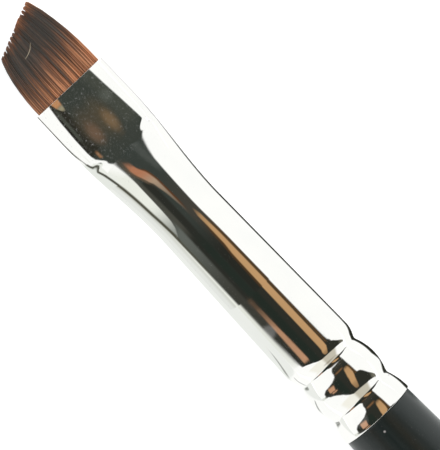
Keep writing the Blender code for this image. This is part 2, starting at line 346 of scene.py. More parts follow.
def plug(tree, made, **inputs):
    """Fills a node's inputs. i0 is the first one, Base_Color the one of that name, and a socket is linked."""
    for key, value in inputs.items():
        numbered = key[0] == "i" and key[1:].isdigit()
        socket = made.inputs[int(key[1:]) if numbered else key.replace("_", " ")]
        if isinstance(value, bpy.types.NodeSocket):
            tree.links.new(value, socket)
        else:
            socket.default_value = value
    return made


def node(tree, kind, settings=None, **inputs):
    """Adds a node with its settings and inputs."""
    made = tree.nodes.new(kind)
    for key, value in (settings or {}).items():
        setattr(made, key, value)
    return plug(tree, made, **inputs)


# %% [markdown]
# ## Shortcuts for common nodes
#
# A few kinds of node come back in every finish: noise, a sum, a colour ramp, a bump. Each gets a short name
# and returns the socket that the next node needs, so a finish reads almost like a formula.

# %% Shortcuts that return an output socket
def object_place(tree):
    return node(tree, "ShaderNodeTexCoord").outputs["Object"]


def stretched(tree, place, scale):
    return node(tree, "ShaderNodeMapping", Vector=place, Scale=scale).outputs["Vector"]


def noise(tree, place, scale, detail, roughness=0.5):
    made = node(tree, "ShaderNodeTexNoise", Vector=place, Scale=scale, Detail=detail, Roughness=roughness)
    return made.outputs["Fac"]


def calc(tree, operation, *values, clamp=False):
    """One sum over plain values or sockets."""
    inputs = {f"i{k}": value for k, value in enumerate(values)}
    return node(tree, "ShaderNodeMath", {"operation": operation, "use_clamp": clamp}, **inputs).outputs[0]


def fade(tree, value, start, end, first=1.0, last=0.0):
    """Goes from first to last while the value goes from start to end, exact at any size."""
    ends = {"From_Min": start, "From_Max": end, "To_Min": first, "To_Max": last}
    return node(tree, "ShaderNodeMapRange", Value=value, **ends).outputs["Result"]


def distance_to(tree, place, point):
    return node(tree, "ShaderNodeVectorMath", {"operation": "DISTANCE"}, i0=place, i1=point).outputs["Value"]


def mix(tree, share, low, high):
    return node(tree, "ShaderNodeMix", {"data_type": "RGBA"}, i0=share, i6=low, i7=high).outputs[2]


def bump(tree, height, strength, distance, **more):
    made = node(tree, "ShaderNodeBump", Height=height, Strength=strength, Distance=distance, **more)
    return made.outputs["Normal"]


def ramp(tree, source, stops):
    """A colour ramp over (place, colour) stops."""
    made = node(tree, "ShaderNodeValToRGB", i0=source)
    elements = made.color_ramp.elements
    while len(elements) < len(stops):
        elements.new(0.5)
    for element, (place, colour) in zip(elements, stops):
        element.position = place
        element.color = (*colour, 1.0)
    return made.outputs["Color"]


def grey(value):
    return (value, value, value)


# %% [markdown]
# ## The nickel finish
#
# Polished nickel is a mirror with a faint warm tint. Real plating also carries drawing lines along the tube
# and a duller patch where the press gripped it. Both are small changes of roughness and bump.

# %% Nickel plate with drawing lines and press marks
nickel, tree, shader = start_material("bright_nickel")
place = object_place(tree)
spot = node(tree, "ShaderNodeSeparateXYZ", Vector=place)
lines = noise(tree, stretched(tree, place, (60, 2600, 2600)), 1.0, 4.0, 0.6)
blotch = noise(tree, place, 420.0, 3.0)
pressed = fade(tree, spot.outputs["X"], MOUTH_X + 0.0045, MOUTH_X + 0.0095)
worn = ramp(tree, blotch, [(0.35, grey(0.035)), (0.75, grey(0.085))])
plug(
    tree,
    shader,
    Base_Color=ramp(tree, blotch, [(0.3, (0.93, 0.925, 0.90)), (0.7, (0.90, 0.90, 0.88))]),
    Roughness=calc(tree, "MULTIPLY_ADD", pressed, 0.075, worn),
    Normal=bump(tree, lines, 0.05, 0.00002),
)
print("plating:", len(tree.nodes), "nodes")

# %% [markdown]
# ## Dust and thumb marks
#
# Dust is no metal, so it lowers the metallic value where it lies and shows as pale dots in the dark parts
# of the reflection. Two soft round smudges do the same over a wider spot.

# %% Dust and thumb marks on the nickel
specks = noise(tree, stretched(tree, place, (1, 1, 0.3)), 5200.0, 2.0, 0.7)
on_panel = ramp(tree, specks, [(0.36, grey(0)), (0.50, grey(0.004)), (0.64, grey(0.018)), (0.74, grey(0.22))])
on_tube = ramp(tree, specks, [(0.62, grey(0)), (0.72, grey(0.10))])
low_side = fade(tree, spot.outputs["Y"], -0.0018, -0.0008, 1.0, 0.1)
front_half = fade(tree, spot.outputs["X"], MOUTH_X + 0.019, MOUTH_X + 0.023, 1.0, 0.2)
tube_dust = calc(tree, "MULTIPLY", calc(tree, "MULTIPLY", on_tube, low_side), front_half)
dust = calc(tree, "ADD", calc(tree, "MULTIPLY", on_panel, pressed), tube_dust)
for middle, radius, strength in (
    ((0.02430, -0.00162, 0.0025), 0.00062, 0.15),
    ((0.03410, -0.00115, 0.0028), 0.00070, 0.10),
):
    away = distance_to(tree, place, on_axis(*middle))
    thumb = fade(tree, away, radius * 0.6, radius * 1.1, strength, 0.0)
    dust = calc(tree, "ADD", dust, thumb, clamp=True)
plug(tree, shader, Metallic=calc(tree, "SUBTRACT", 1.0, dust))
ferrule.data.materials.append(nickel)
print("nickel:", len(tree.nodes), "nodes")

# %% [markdown]
# ## The tuft
#
# The tuft holds about two thousand tapered filaments, packed in the shape of the mouth and trimmed on a
# slant, longest at the toe. As a mesh, each filament starts at its own seat and ends at the trim line. The
# random numbers are seeded, so the same brush comes out every time.

# %% Seats of the filaments in the mouth
rng = np.random.default_rng(7)
TOE_REACH, TOE_OFFSET = 0.00715, 0.0020
TRIM_SLOPE = tan(radians(24.0))
TIP_DEPTH, TOE_DRAW, HEEL_DRAW = 0.0011, 0.30, 0.52
STRAND_WIDTH = 0.000092
SEAT_SPACING, SEAT_JITTER = 0.000088, 0.12


def packed_seats(spacing):
    """Places across the mouth in a slightly disturbed hexagonal packing."""
    half_width = MOUTH_WIDTH / 2 - FERRULE_WALL - STRAND_WIDTH / 2
    half_depth = MOUTH_DEPTH / 2 - FERRULE_WALL - STRAND_WIDTH / 2
    half_flat = MOUTH_FLAT / 2
    seats = []
    rows = int(2 * half_depth / (spacing * sqrt(3) / 2)) + 1
    for row in range(rows):
        z = -half_depth + 2 * half_depth * row / (rows - 1)
        reach = half_flat + (half_width - half_flat) * sqrt(max(0.0, 1 - (z / half_depth) ** 2))
        count = int(2 * reach / spacing) + 1
        for k in range(count):
            y = -reach + 2 * reach * (k + 0.5 * (row % 2)) / count
            seats.append((y, z))
    seats = np.array(seats)
    return seats + rng.normal(0, spacing * SEAT_JITTER, seats.shape)


seats = packed_seats(SEAT_SPACING)
print(len(seats), "filaments")

# %% [markdown]
# ## Locks and trimming
#
# Neighbouring filaments stick together in small locks near the tip. Between two locks the trimmed edge has
# a fine notch, and each filament's length varies a little.

# %% The path of every filament
def tuft_scale(seat_y, reach):
    """How much of the mouth's width and depth the tuft keeps at a distance in front of the mouth."""
    share = np.clip(reach / TOE_REACH, 0, 1.05)
    inner_depth = MOUTH_DEPTH - 2 * FERRULE_WALL
    draw = blend(HEEL_DRAW, TOE_DRAW, ease(seat_y / MOUTH_WIDTH + 0.5))
    return 1 - draw * share**2.45, 1 - (1 - TIP_DEPTH / inner_depth) * share**1.5


def trimmed_reach(seat_y):
    """How far a filament reaches before the trim line cuts it, found in six rounds."""
    reach = TOE_REACH + (seat_y - TOE_OFFSET) * TRIM_SLOPE
    for _ in range(6):
        reach = TOE_REACH + (seat_y * tuft_scale(seat_y, reach)[0] - TOE_OFFSET) * TRIM_SLOPE
    return reach


LOCK_COUNT = 15
LOCK_JITTER = 0.16
NOTCH_REACH, NOTCH_LOW, NOTCH_HIGH = 0.00011, 0.00004, 0.00045
LOCK_SHORT, STRAND_SHORT = 0.00005, 0.00003
CLOSED_SHARE = 0.3
lock_y = np.linspace(-1, 1, LOCK_COUNT) * (MOUTH_WIDTH / 2)
lock_y = lock_y + rng.normal(0, MOUTH_WIDTH / LOCK_COUNT * LOCK_JITTER, LOCK_COUNT)
lock_of = np.abs(seats[:, :1] - lock_y[None, :]).argmin(1)
reach = trimmed_reach(seats[:, 0])
lock_edges = (lock_y[1:] + lock_y[:-1]) / 2
notch_depth = rng.uniform(NOTCH_LOW, NOTCH_HIGH, LOCK_COUNT - 1)
notch_depth[rng.random(LOCK_COUNT - 1) < CLOSED_SHARE] = 0.0
for edge, depth in zip(lock_edges, notch_depth):
    reach = reach - depth * np.clip(1 - np.abs(seats[:, 0] - edge) / NOTCH_REACH, 0, 1)
reach = reach - rng.uniform(0, LOCK_SHORT, LOCK_COUNT)[lock_of]
reach = reach - np.abs(rng.normal(0, STRAND_SHORT, len(seats)))
reach = np.minimum(reach, TOE_LIMIT)
print(f"reach in mm: {1000 * reach.min():.2f} to {1000 * reach.max():.2f}")

# %% [markdown]
# ## Strands as mesh
#
# Each strand gets a triangular section and eight rings, the last one smaller. Three sides are enough,
# because a strand is about a pixel wide. Two numbers ride along for the material: a painted glow, and a tone
# of its own. The nylon is dark brown where the tuft is dense. The painted glow stands in for light shining
# through it where it is thin: at the roots, on both side edges and at the tips, and more on the +Y side,
# where the key lamp stands.

# %% Build all the strands in one mesh
SEGMENTS, ROOT_DEPTH, TIP_ZONE = 7, 0.0013, 0.0011
WAVE, GATHER, TAPER, LAST_RING = 0.000018, 0.09, 0.45, 0.6
wave = rng.normal(0, WAVE, (len(seats), 2))
strand_tone = rng.uniform(0, 1, len(seats))
spin = rng.uniform(0, 2 * pi, len(seats))
at_edge = np.clip(np.abs(seats[:, 0]) / (MOUTH_WIDTH / 2), 0, 1) ** 5
toe_side = ease(seats[:, 0] / MOUTH_WIDTH + 0.5)
points, painted_glow = [], []
for ring in range(SEGMENTS + 1):
    share = ring / SEGMENTS
    distance = -ROOT_DEPTH + (reach + ROOT_DEPTH) * share
    width, depth = tuft_scale(seats[:, 0], np.maximum(distance, 0))
    tip_share = np.clip((distance - reach + TIP_ZONE) / TIP_ZONE, 0, 1)
    gathered = blend(seats[:, 0], lock_y[lock_of], GATHER * tip_share**1.5)
    centre_y = gathered * width + wave[:, 0] * np.sin(share * 5)
    centre_z = seats[:, 1] * depth + wave[:, 1] * np.sin(share * 4)
    size = STRAND_WIDTH / 2 * (1 - TAPER * share**4) * (1 if ring < SEGMENTS else LAST_RING)
    for corner in range(3):
        turn = spin + 2 * pi * corner / 3
        y, z = centre_y + size * np.cos(turn), AXIS_Z + centre_z + size * np.sin(turn)
        points.append(np.stack([MOUTH_X - distance, y, z], 1))
    # Painted glow: light shining through the thin nylon at the roots, side edges and tips, more on the +Y
    # lamp side.
    near_root = np.clip(1 - distance / (0.62 * reach), 0, 1) ** 0.9
    glow = (0.68 + 0.44 * toe_side) * near_root + 0.4 * at_edge + (0.45 + 0.4 * toe_side) * tip_share**1.6
    painted_glow += [np.clip(glow, 0, 1)] * 3
per = 3 * (SEGMENTS + 1)
points = np.stack(points, 1).reshape(-1, 3)
painted_glow = np.stack(painted_glow, 1).ravel()
tone = np.repeat(strand_tone, per)
print("strand points:", len(points))

# %% [markdown]
# ## The strands' faces
#
# One strand's quads are made once and shifted for all the others. A triangle closes each end.

# %% Close the strands, attach them and hide the CAD tuft
one = ring_faces(SEGMENTS + 1, 3, False)
quads = (np.arange(len(seats))[:, None, None] * per + one[None]).reshape(-1, 4)
ends = np.arange(len(seats))[:, None] * per
caps = np.concatenate([ends + [[2, 1, 0]], ends + per - 3 + [[0, 1, 2]]])
mesh = bpy.data.meshes.new("filament_strands")
mesh.from_pydata(points.tolist(), [], quads.tolist() + caps.tolist())
mesh.shade_smooth()
for name, values in (("painted_glow", painted_glow), ("tone", tone)):
    layer = mesh.attributes.new(name, "FLOAT", "POINT")
    layer.data.foreach_set("value", values.astype(np.float32))
filaments = add_object("filament_strands", mesh)
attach(filaments, "root")
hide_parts("filament_tuft")
print("strand faces:", len(mesh.polygons))

# %% [markdown]
# ## One stray filament
#
# A single pale filament has come loose and lies curled on the tuft. It is a thin tube along six places that
# thins out towards both ends.

# %% The stray filament
STRAY_RADIUS, STRAY_LIFT, STRAY_TAPER = 0.000028, 0.00007, 0.5
stray_path = [(4.56, 0.20), (4.42, 0.02), (4.24, -0.17), (4.10, -0.42), (3.99, -0.68), (3.92, -0.95)]
turns = 2 * pi * np.arange(6) / 6
stray_rings = []
for k, (ahead, y) in enumerate(np.array(stray_path) / 1000):
    top = AXIS_Z + (MOUTH_DEPTH / 2 - FERRULE_WALL) * tuft_scale(y, ahead)[1] + STRAY_LIFT
    radius = STRAY_RADIUS * (1 - STRAY_TAPER * abs(k - 2.5) / 2.5)
    ring_x, ring_z = MOUTH_X - ahead + radius * np.cos(turns), top + radius * np.sin(turns)
    stray_rings.append(np.stack([ring_x, np.full(6, y + radius * 0.6), ring_z], 1))
stray = ringed_piece("stray_filament", stray_rings)
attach(stray, "root")
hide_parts("filament_tuft")

# %% [markdown]
# ## The filament finish
#
# The colour comes from the two numbers on the strands: a ramp goes from grey-brown through red-brown to a
# warm orange-brown, and each strand sits a little higher or lower on it. The red-brown to orange-brown part
# is painted glow, standing in for light through thin nylon. A wide noise shifts whole bands,
# and a fine one stretched along the strand breaks up the rest.

# %% Dark brown nylon
nylon, tree, shader = start_material("brown_nylon")
place = object_place(tree)
# The painted glow: light through the thin nylon, carried on the strands.
glow_level = node(tree, "ShaderNodeAttribute", {"attribute_name": "painted_glow"}).outputs["Fac"]
own = node(tree, "ShaderNodeAttribute", {"attribute_name": "tone"}).outputs["Fac"]
streak = noise(tree, stretched(tree, place, (500, 9000, 9000)), 1.0, 3.0)
band = noise(tree, stretched(tree, place, (130, 2700, 2700)), 1.0, 1.0)
toned = calc(tree, "ADD", glow_level, calc(tree, "MULTIPLY_ADD", own, 0.50, -0.25))
banded = calc(tree, "MULTIPLY", calc(tree, "MULTIPLY_ADD", band, 1.7, -0.87), glow_level)
streaked = calc(tree, "MULTIPLY_ADD", streak, 0.5, -0.25)
level = calc(tree, "ADD", calc(tree, "ADD", toned, banded), streaked, clamp=True)
# Dark grey-brown is the dense nylon; the red-brown to orange end is painted glow.
browns_and_glow = [
    (0.0, (0.082, 0.076, 0.068)),
    (0.28, (0.140, 0.098, 0.076)),
    (0.60, (0.300, 0.140, 0.080)),
    (1.0, (0.760, 0.345, 0.175)),
]
gloss = ramp(tree, streak, [(0.3, grey(0.36)), (0.7, grey(0.52))])
plug(tree, shader, Base_Color=ramp(tree, level, browns_and_glow), Roughness=gloss)
shader.inputs["Specular IOR Level"].default_value = 0.35
filaments.data.materials.append(nylon)
print("nylon:", len(tree.nodes), "nodes")

# %% [markdown]
# ## The stray filament's finish
#
# The stray filament has no strand numbers. It gets a pale nylon of its own, with faint flecks.

# %% Pale nylon
pale, tree, shader = start_material("pale_nylon")
flecks = noise(tree, object_place(tree), 2500.0, 2.0)
plug(tree, shader, Base_Color=ramp(tree, flecks, [(0.3, (0.55, 0.43, 0.29)), (0.7, (0.75, 0.64, 0.48))]))
shader.inputs["Roughness"].default_value = 0.4
stray.data.materials.append(pale)
print("pale nylon:", len(tree.nodes), "nodes")

# %% [markdown]
# ## The bonded roots
#
# Inside the mouth the filaments end in a block that resin has soaked. Little of it shows, but without it
# one could look down the tube. It is one plug in the ferrule's own section, a hair smaller than the bore.

# %% Root block inside the mouth
GLUE_FILM = 0.00004
ROOT_START, ROOT_END = 0.0010, 0.0088
root_stations = [ROOT_START, *spaced(ROOT_START, ROOT_END, 22)]
root_rings = [ferrule_section(s, FERRULE_WALL + GLUE_FILM, 12, 16) for s in root_stations]
roots = ringed_piece("bonded_roots", root_rings)
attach(roots, "root")
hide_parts("filament_tuft")
soaked, tree, shader = start_material("resin_soaked_roots")
streak = noise(tree, stretched(tree, object_place(tree), (300, 7000, 7000)), 1.0, 3.0)
colour = ramp(tree, streak, [(0.3, (0.03, 0.012, 0.006)), (0.7, (0.12, 0.05, 0.022))])
plug(tree, shader, Base_Color=colour, Normal=bump(tree, streak, 0.4, 0.00003))
shader.inputs["Roughness"].default_value = 0.28
roots.data.materials.append(soaked)

# %% [markdown]
# ## The potted pieces
#
# The resin behind the roots and the wood glue against the tenon stay as their CAD solids, because nobody
# sees them unless the ferrule is cut open. They still get finishes: clouded amber, and dull cream with fine
# pores.

# %% Amber resin and wood glue
def dress_solid(name, material):
    """Gives a CAD solid that stays in the scene its finish."""
    slots = frame["nodes"][name].data.materials
    slots.clear()
    slots.append(material)


resin, tree, shader = start_material("amber_resin")
clouds = noise(tree, object_place(tree), 900.0, 4.0)
colour = ramp(tree, clouds, [(0.3, (0.30, 0.16, 0.045)), (0.7, (0.52, 0.33, 0.12))])
plug(tree, shader, Base_Color=colour, Roughness=ramp(tree, clouds, [(0.3, grey(0.10)), (0.7, grey(0.22))]))
dress_solid("root_epoxy", resin)

glue, tree, shader = start_material("dried_wood_glue")
pores = node(tree, "ShaderNodeTexVoronoi", Vector=object_place(tree), Scale=3500.0).outputs["Distance"]
colour = ramp(tree, pores, [(0.1, (0.62, 0.56, 0.42)), (0.6, (0.82, 0.78, 0.64))])
plug(tree, shader, Base_Color=colour, Normal=bump(tree, pores, 0.3, 0.00003))
shader.inputs["Roughness"].default_value = 0.55
dress_solid("tenon_glue", glue)
print("potted pieces finished")

# %% [markdown]
# ## The handle
#
# The CAD handle has flat facets, so this one is a finer lathe piece on the same outline: a small rounded
# front edge, a swell to the belly, ten level millimetres, and a long taper to a rounded tail. Its belly is
# as low as the CAD's lowest facet, so that it touches the table exactly.

# %% Turn the handle
HANDLE_LENGTH, TAIL_ROUND_LENGTH = 0.1350, 0.0021
FLAT_TO_ROUND = cos(pi / 24)
SHOULDER_GAP, SHOULDER_ROUND = 0.00005, 0.00012
FRONT_RADIUS = 0.00635 / 2
BELLY_RADIUS = 0.0079 / 2 * FLAT_TO_ROUND
TAIL_RADIUS = 0.0046 / 2 * FLAT_TO_ROUND
HANDLE_START = FERRULE_LENGTH + SHOULDER_GAP
BELLY_DISTANCE, BELLY_LENGTH = 0.0250, 0.0100
FRONT_PULL, REAR_PULL, TAIL_PULL = 0.012, 0.030, 0.042
FRONT_SLOPE_SHARE, TAIL_SLOPE_SHARE = 1.47, 0.8
EPOXY_LENGTH, TENON_CLEARANCE = 0.0036, 0.0051
TENON_FRONT = ROOT_END + GLUE_FILM + EPOXY_LENGTH + TENON_CLEARANCE
NOSE_LENGTH, NOSE_STEP, AXIS_HOLE = 0.0008, 0.0004, 0.00002


def curve_points(start, first_pull, second_pull, end, count):
    """Points along one smooth curve, as the CAD's outline has them but closer together."""
    t = np.linspace(0, 1, count)[:, None]
    a, b, c, d = (np.array(p, float) for p in (start, first_pull, second_pull, end))
    return (1 - t) ** 3 * a + 3 * (1 - t) ** 2 * t * b + 3 * (1 - t) * t**2 * c + t**3 * d


def handle_profile():
    belly = (HANDLE_START + BELLY_DISTANCE, BELLY_RADIUS)
    waist = (belly[0] + BELLY_LENGTH, BELLY_RADIUS)
    front = (HANDLE_START + SHOULDER_ROUND, FRONT_RADIUS)
    tail = (HANDLE_START + HANDLE_LENGTH - TAIL_ROUND_LENGTH, TAIL_RADIUS)
    rise = FRONT_SLOPE_SHARE * FRONT_PULL * (belly[1] - front[1]) / (belly[0] - front[0])
    fall = TAIL_SLOPE_SHARE * TAIL_PULL * (waist[1] - tail[1]) / (tail[0] - waist[0])
    ahead = (front[0] + FRONT_PULL, front[1] + rise)
    swell = curve_points(front, ahead, (belly[0] - FRONT_PULL, belly[1]), belly, 60)
    before_tail = (tail[0] - TAIL_PULL, tail[1] + fall)
    taper = curve_points(waist, (waist[0] + REAR_PULL, waist[1]), before_tail, tail, 80)
    seated = [s for s in outer_stations[::3] if s > TENON_FRONT + NOSE_LENGTH + 0.0001]
    bore = [(s, tube_radius(s) - FERRULE_WALL - GLUE_FILM) for s in seated]
    full = bore[0][1]
    nose = [(TENON_FRONT, AXIS_HOLE), (TENON_FRONT, full - NOSE_STEP), (TENON_FRONT + NOSE_LENGTH, full)]
    edge, dome = [(HANDLE_START, bore[-1][1])], []
    for turn in pi / 2 * np.arange(7) / 6:
        inward, down = SHOULDER_ROUND * (1 - cos(turn)), SHOULDER_ROUND * (1 - sin(turn))
        edge.append((HANDLE_START + inward, FRONT_RADIUS - down))
    for turn in pi / 2 * np.arange(1, 13) / 12:
        dome.append((tail[0] + TAIL_ROUND_LENGTH * sin(turn), max(TAIL_RADIUS * cos(turn), AXIS_HOLE)))
    return nose + bore + edge + swell[1:].tolist() + taper.tolist() + dome


LATHE_STEPS = 96
turns = 2 * pi * np.arange(LATHE_STEPS) / LATHE_STEPS
handle_rings = [
    np.stack([np.full(LATHE_STEPS, MOUTH_X + s), r * np.cos(turns), AXIS_Z + r * np.sin(turns)], 1)
    for s, r in handle_profile()
]
handle = ringed_piece("lacquered_handle", handle_rings)
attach(handle, "root")
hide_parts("handle")

# %% [markdown]
# ## The lacquer
#
# Satin black lacquer over fine-grained wood: the grain shows through as very shallow lengthwise waves, a
# little dust has dried into the coat, and one pale nib sits near the ferrule. The colour drifts slowly
# between two near blacks.

# %% Satin black lacquer
lacquer, tree, shader = start_material("satin_black_lacquer")
place = object_place(tree)
grain = noise(tree, stretched(tree, place, (90, 1500, 1500)), 1.0, 5.0, 0.6)
dust_mask = ramp(tree, noise(tree, place, 6500.0, 1.0), [(0.70, grey(0)), (0.76, grey(1))])
base = ramp(tree, grain, [(0.3, (0.0070, 0.0125, 0.0115)), (0.7, (0.0135, 0.0200, 0.0190))])
nib = fade(tree, distance_to(tree, place, on_axis(0.0360, -0.00045, 0.00314)), 0.00005, 0.00013)
dusty = mix(tree, dust_mask, base, (0.045, 0.043, 0.042, 1.0))
waves = bump(tree, grain, 0.12, 0.00003)
plug(
    tree,
    shader,
    Base_Color=mix(tree, nib, dusty, (0.42, 0.39, 0.38, 1.0)),
    Roughness=ramp(tree, grain, [(0.3, grey(0.30)), (0.7, grey(0.40))]),
    Normal=bump(tree, dust_mask, 0.3, 0.00001, Normal=waves),
)
shader.inputs["Sheen Weight"].default_value = 0.34
shader.inputs["Sheen Roughness"].default_value = 0.30
shader.inputs["Sheen Tint"].default_value = (0.86, 1.0, 0.96, 1)
handle.data.materials.append(lacquer)
print("lacquer:", len(tree.nodes), "nodes")

# %% [markdown]
# ## The white table
#
# The table must read as pure white and still hold the brush's soft shadow. Its material is white and
# diffuse, with a glow for camera, mirror and glass rays only. So it throws no extra light on the brush, and
# its diffuse part still darkens where the brush blocks the lamps.

# %% Table
def seen_or_mirrored(tree):
    """1 for rays from the camera and for mirror and glass rays, and 0 for the rays that carry light."""
    path = node(tree, "ShaderNodeLightPath").outputs
    first = calc(tree, "MAXIMUM", path["Is Camera Ray"], path["Is Glossy Ray"])
    return calc(tree, "MAXIMUM", first, path["Is Transmission Ray"])


TABLE_HALF, TABLE_GLOW = 1.5, 0.62
mesh = bpy.data.meshes.new("table_top")
corners = [(x * TABLE_HALF, y * TABLE_HALF, 0) for x, y in ((-1, -1), (1, -1), (1, 1), (-1, 1))]
mesh.from_pydata(corners, [], [(0, 1, 2, 3)])
table = add_object("table_top", mesh)
table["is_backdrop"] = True
white, tree, shader = start_material("white_table")
shader.inputs["Base Color"].default_value = (0.80, 0.80, 0.80, 1.0)
shader.inputs["Roughness"].default_value = 0.9
shader.inputs["Specular IOR Level"].default_value = 0.0
shader.inputs["Emission Color"].default_value = (1.0, 1.0, 1.0, 1.0)
plug(tree, shader, Emission_Strength=calc(tree, "MULTIPLY", seen_or_mirrored(tree), TABLE_GLOW))
table.data.materials.append(white)
print("table:", len(tree.nodes), "nodes")

# %% [markdown]
# ## World and lamps
#
# The world is plain white for the camera and for mirrors, and a softer light for everything else. One large
# lamp high on the +Y side gives the light a direction, and a weaker one opposite fills the shadows. Mirrors
# don't see the lamps, because the white surroundings stand for them.

# %% Light the scene
world = bpy.data.worlds.new("white_room")
bpy.context.scene.world = world
world.use_nodes = True
tree = world.node_tree
tree.nodes.clear()
soft = node(tree, "ShaderNodeBackground", Color=(1.0, 1.0, 1.0, 1.0), Strength=0.55)
plain = node(tree, "ShaderNodeBackground", Color=(1.0, 1.0, 1.0, 1.0), Strength=1.0)
chosen = node(tree, "ShaderNodeMixShader", i0=seen_or_mirrored(tree), i1=soft.outputs[0], i2=plain.outputs[0])
node(tree, "ShaderNodeOutputWorld", Surface=chosen.outputs[0])


def soft_lamp(name, place, size, power):
    lamp = bpy.data.lights.new(name, "AREA")
    lamp.shape = "DISK"
    lamp.size = size
    lamp.energy = power
    made = add_object(name, lamp)
    made.location = place
    made.rotation_mode = "QUATERNION"
    made.rotation_quaternion = (Vector((0, 0, 0)) - Vector(place)).to_track_quat("-Z", "Y")
    made.visible_glossy = False
    made.visible_camera = False
    return made


key = soft_lamp("key_lamp", (-0.10, 0.30, 0.34), 0.30, 0.9)
fill = soft_lamp("fill_lamp", (0.05, -0.34, 0.26), 0.35, 0.35)
print("lamps:", key.data.energy, "W and", fill.data.energy, "W")

# %% [markdown]
# ## What the mirror sees
#
# A polished tube shows the room: white to both sides, something dark overhead, and warm copper streaks in
# the dark. So the room is painted, on cards that only mirror rays can see. They throw no shadow, and no
# camera looks at them.
#
# A card is a fine grid of points, and each point carries its light as a colour attribute. A picture is laid
# on the grid in NumPy, one soft-edged shape over the other.

# %% Helpers that paint a card
NICKEL = np.array((0.92, 0.915, 0.89))


def light_for(red, green, blue):
    """The light that the nickel mirrors as this screen colour, 0 to 255."""
    share = np.array((red, green, blue)) / 255
    return ((share + 0.055) / 1.055) ** 2.4 / NICKEL


def within(value, low, high, blur, high_blur=None):
    """1 between low and high and 0 outside. The edges are blur wide, the high one high_blur if given."""
    high_blur = blur if high_blur is None else high_blur
    return ease((value - low) / blur + 0.5) * ease((high - value) / high_blur + 0.5)


def border(x, *places):
    """A border drawn through (x, value) places."""
    return np.interp(x, [p[0] for p in places], [p[1] for p in places])


def after(value, start, run):
    """0 up to start, then rising to 1 over the run."""
    return ease((value - start) / run)


def before(value, start, run):
    """1 up to start, then falling to 0 over the run."""
    return 1 - after(value, start, run)


def lay_light(picture, light, cover):
    """Lays light over the picture where cover is 1."""
    picture += (light - picture) * cover[..., None]


def lay(picture, colour, cover):
    """Lays a screen colour over the picture where cover is 1."""
    lay_light(picture, light_for(*colour), cover)


def lay_inside(picture, mask, *shapes):
    """Lays (colour, cover) shapes one over the other, each only where the mask is 1."""
    for colour, cover in shapes:
        lay(picture, colour, mask * cover)


def painted_card(name, points, picture):
    """A grid of points, rows by columns, that glows in the picture's colours for mirror rays only."""
    rows, columns = points.shape[:2]
    index = np.arange(rows * columns).reshape(rows, columns)
    faces = np.stack([index[:-1, :-1], index[:-1, 1:], index[1:, 1:], index[1:, :-1]], -1).reshape(-1, 4)
    mesh = bpy.data.meshes.new(name)
    mesh.from_pydata(points.reshape(-1, 3).tolist(), [], faces.tolist())
    layer = mesh.color_attributes.new("light", "FLOAT_COLOR", "POINT")
    layer.data.foreach_set("color", np.dstack([picture, np.ones((rows, columns))]).ravel().astype(np.float32))
    material, tree, shader = start_material(name)
    light = node(tree, "ShaderNodeAttribute", {"attribute_name": "light"}).outputs["Color"]
    plug(tree, shader, Emission_Color=light)
    shader.inputs["Base Color"].default_value = (0, 0, 0, 1)
    shader.inputs["Specular IOR Level"].default_value = 0.0
    shader.inputs["Emission Strength"].default_value = 1.0
    material.cycles.emission_sampling = "NONE"
    mesh.materials.append(material)
    card = add_object(name, mesh)
    for ray in ("camera", "diffuse", "transmission", "volume_scatter", "shadow"):
        setattr(card, "visible_" + ray, False)
    card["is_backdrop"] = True
    print(f"{name}: {rows} x {columns} points")


def round_axis(x, angle, radius):
    """Points round the brush's axis; the angle is in degrees from straight up towards +Y."""
    turn = np.radians(angle)
    return np.stack([x, radius * np.sin(turn), AXIS_Z + radius * np.cos(turn)], -1)


# %% [markdown]
# ## The far hood
#
# The rolled beads see the whole room, so their card is a large hood, 45 cm away. Places on it are given by
# the slope of the view along the brush and by the angle across it. The tube is almost level and sees a
# narrow strip near slope 0.1. A bead is curved and sees far more, so each bead repeats the room in small.

# %% Paint the far hood
HOOD_RADIUS = 0.45
CREAM = light_for(254, 254, 250)


def cream_picture(grid):
    """A picture of the bright room, as large as the grid."""
    return np.broadcast_to(CREAM, (*grid.shape, 3)).copy()


fine = np.arange(0.07, 0.14, 0.002)
slopes = np.concatenate([np.arange(-1.0, 0.07, 0.01), fine, np.arange(0.14, 2.6, 0.01)])
u, angle = np.meshgrid(slopes, np.arange(-150.0, 151.0, 1.0), indexing="ij")
picture = cream_picture(u)

lay(picture, (226, 228, 218), within(u, 0.06, 0.122, 0.02) * (angle < -68))
haze = after(u, 0.57, 0.1)
lay(picture, (236, 232, 214), haze * within(angle, -62, 0, 18) * 0.6)
lay(picture, (176, 168, 144), haze * within(angle, -6, 50, 14) * 0.8)
lay(picture, (84, 66, 46), after(u, 1.3, 0.4) * within(angle, -20, 50, 14) * 0.8)
streak_u = border(angle, (-150, -0.06), (-130, -0.13), (-100, -0.17), (-72, -0.2), (-50, -0.3), (-30, -0.42))
streak = within(u, streak_u - 0.045, streak_u + 0.045, 0.05) * within(angle, -150, -94, 12)
lay(picture, (150, 152, 142), 0.75 * streak)
lay(picture, (84, 88, 78), 0.9 * streak * within(angle, -138, -96, 14))
streak_angle = border(u, (-0.05, 152), (0.2, 146), (0.4, 132), (0.5, 124), (0.6, 104), (0.65, 95))
edge_streak = within(angle, streak_angle - 9, streak_angle + 9, 12) * within(u, -0.05, 0.66, 0.06)
lay(picture, (120, 124, 118), 0.85 * edge_streak)

